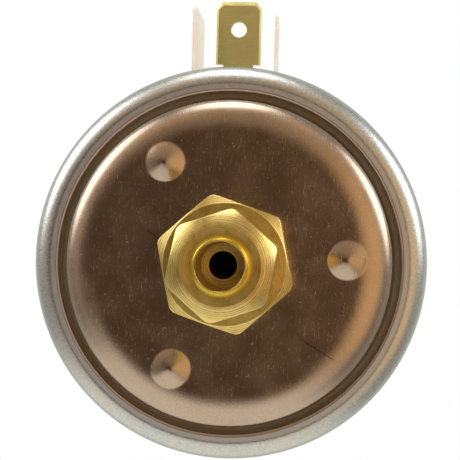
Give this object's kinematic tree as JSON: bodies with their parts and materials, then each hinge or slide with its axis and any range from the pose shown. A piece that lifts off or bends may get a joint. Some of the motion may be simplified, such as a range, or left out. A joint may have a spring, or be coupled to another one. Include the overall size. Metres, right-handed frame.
{
  "type": "pressure switch",
  "caption": "Round diaphragm pressure switch with a brass tube port, crimped steel pressure cap, adjustable range spring, changeover contacts and flat push-on terminals.",
  "frame": {"origin": "centre of the mouth of the tube socket, on the switch's axis", "axes": "+Z out of the port along the axis, +Y towards the straight terminal, the flat rear cover faces -Z"},
  "size_m": [0.0532, 0.0632, 0.051],
  "materials": {
    "brass": "bright, turned",
    "bronze": "satin",
    "copper": "satin",
    "tab_brass": "dull rolled strip with bright sheared edges",
    "zinc_steel": "clear bright zinc plate",
    "cap_steel": "polished, lightly scratched",
    "spring_steel": "drawn wire",
    "silver": "satin",
    "nylon": "moulded natural nylon",
    "rubber": "matte"
  },
  "bodies": {
    "body": {"port_body": "brass", "port_seal_ring": "copper", "backing_washer": "zinc_steel", "pressure_cap": "cap_steel", "crimp_ring": "zinc_steel", "diaphragm": "rubber", "switch_housing": "nylon", "terminal_block": "nylon", "cover_gasket": "rubber", "rear_cover": "nylon", "cover_screw_1": "zinc_steel", "cover_screw_2": "zinc_steel", "cover_screw_3": "zinc_steel", "terminal_common": "tab_brass", "terminal_nc": "tab_brass", "terminal_no": "tab_brass", "fixed_contact_nc": "silver", "fixed_contact_no": "silver", "pivot_pin": "zinc_steel"},
    "olive": {"ferrule": "bronze"},
    "nut": {"compression_nut": "brass"},
    "piston": {"piston_disc": "zinc_steel", "push_pin_left": "nylon", "push_pin_right": "nylon"},
    "blade": {"contact_blade": "bronze", "moving_contact": "silver", "blade_spring": "spring_steel"},
    "spring_seat": {"spring_nut": "zinc_steel", "range_spring": "spring_steel"},
    "screw": {"adjusting_screw": "brass", "screw_clip": "spring_steel"}
  },
  "joints": [
    {"name": "piston_travel", "type": "slide", "parent": "body", "child": "piston", "axis": [0, 0, -1], "range_m": [0, 0.0008], "stiffness_N_per_m": 1500, "springref_m": -0.004},
    {"name": "blade_swing", "type": "hinge", "parent": "body", "child": "blade", "pos_m": [0, 0.012, -0.03115], "axis": [1, 0, 0], "range_deg": [0, 3.83], "deforming": ["blade_spring"]},
    {"name": "screw_turn", "type": "hinge", "parent": "body", "child": "screw", "pos_m": [0, 0, -0.045], "axis": [0, 0, -1], "range_deg": [0, 1081]},
    {"name": "spring_nut_travel", "type": "slide", "parent": "body", "child": "spring_seat", "axis": [0, 0, 1], "range_m": [0, 0.003], "deforming": ["range_spring"]},
    {"name": "ferrule_slide", "type": "slide", "parent": "body", "child": "olive", "axis": [0, 0, 1], "range_m": [0, 0.004]},
    {"name": "nut_turn", "type": "hinge", "parent": "olive", "child": "nut", "pos_m": [0, 0, -0.005], "axis": [0, 0, 1], "range_deg": [0, 1441]}
  ],
  "couplings": [
    {"joint": "blade_swing", "follows": "piston_travel", "rad_per_m": 83.333},
    {"joint": "screw_turn", "follows": "spring_nut_travel", "rad_per_m": 6283.2},
    {"joint": "nut_turn", "follows": "ferrule_slide", "rad_per_m": 6283.2}
  ]
}
